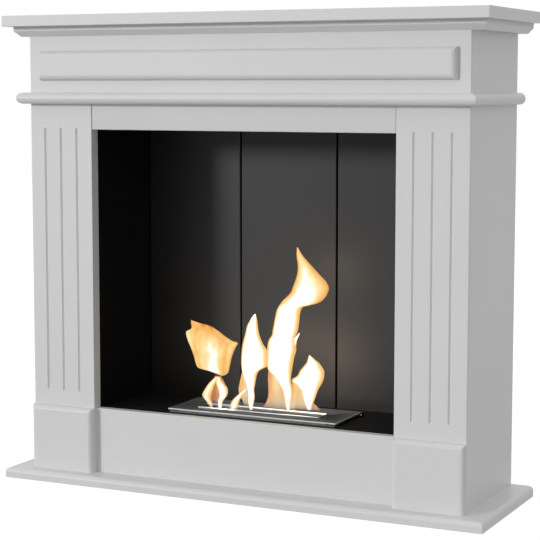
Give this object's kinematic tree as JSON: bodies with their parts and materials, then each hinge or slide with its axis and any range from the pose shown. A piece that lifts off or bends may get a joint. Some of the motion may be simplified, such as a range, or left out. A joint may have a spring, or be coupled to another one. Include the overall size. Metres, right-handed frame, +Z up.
{
  "type": "bioethanol fireplace",
  "caption": "Floor-standing bioethanol fireplace: white panelled mantel surround on a base board, black steel firebox and a stainless slot burner with a sliding shutter.",
  "frame": {"origin": "middle of the underside of the base board", "axes": "+X to the right seen from the front, +Y to the open back, +Z up; the front faces -Y"},
  "size_m": [1.004, 0.306, 0.92],
  "materials": {
    "painted_mdf": "satin white paint on MDF",
    "raw_mdf": "bare MDF, light brown, smooth",
    "softwood": "planed softwood",
    "black_steel": "matt black heat-resistant paint",
    "dark_steel": "satin dark grey heat-resistant paint",
    "zinc_steel": "zinc-plated steel",
    "stainless": "brushed stainless steel, heat-darkened",
    "ceramic_fibre": "pressed ceramic fibre, matt white"
  },
  "bodies": {
    "surround": {"base_board": "painted_mdf", "left_column": "painted_mdf", "right_column": "painted_mdf", "left_side_panel": "painted_mdf", "right_side_panel": "painted_mdf", "left_plinth_block": "painted_mdf", "right_plinth_block": "painted_mdf", "lower_front_panel": "painted_mdf", "header_panel": "painted_mdf", "bullnose_board": "painted_mdf", "frieze_front": "painted_mdf", "left_frieze_return": "painted_mdf", "right_frieze_return": "painted_mdf", "raised_field": "painted_mdf", "crown_board": "painted_mdf", "mantel_shelf": "painted_mdf", "left_inner_panel": "raw_mdf", "right_inner_panel": "raw_mdf", "rear_bottom_rail": "raw_mdf", "rear_top_rail": "raw_mdf", "glue_blocks": "softwood", "front_hearth_bearer": "softwood", "rear_hearth_bearer": "softwood", "firebox_left_wall": "black_steel", "firebox_right_wall": "black_steel", "hearth_floor": "black_steel", "firebox_ceiling": "black_steel", "firebox_back_left": "dark_steel", "firebox_back_centre": "dark_steel", "firebox_back_right": "dark_steel", "lower_back_angle": "zinc_steel", "upper_back_angle": "zinc_steel", "back_panel_screws": "zinc_steel"},
    "burner": {"fuel_tray": "stainless", "ceramic_wool": "ceramic_fibre", "burner_plate": "stainless", "front_plate_spacer": "stainless", "rear_plate_spacer": "stainless", "left_shutter_guide": "stainless", "right_shutter_guide": "stainless"},
    "shutter": {"shutter_blade": "stainless", "shutter_handle": "stainless", "shutter_knob": "stainless"}
  },
  "joints": [
    {"name": "burner_lift", "type": "slide", "parent": "surround", "child": "burner", "axis": [0, 0, 1], "range_m": [0, 0.075]},
    {"name": "shutter_slide", "type": "slide", "parent": "burner", "child": "shutter", "axis": [0, -1, 0], "range_m": [0, 0.0435]}
  ]
}
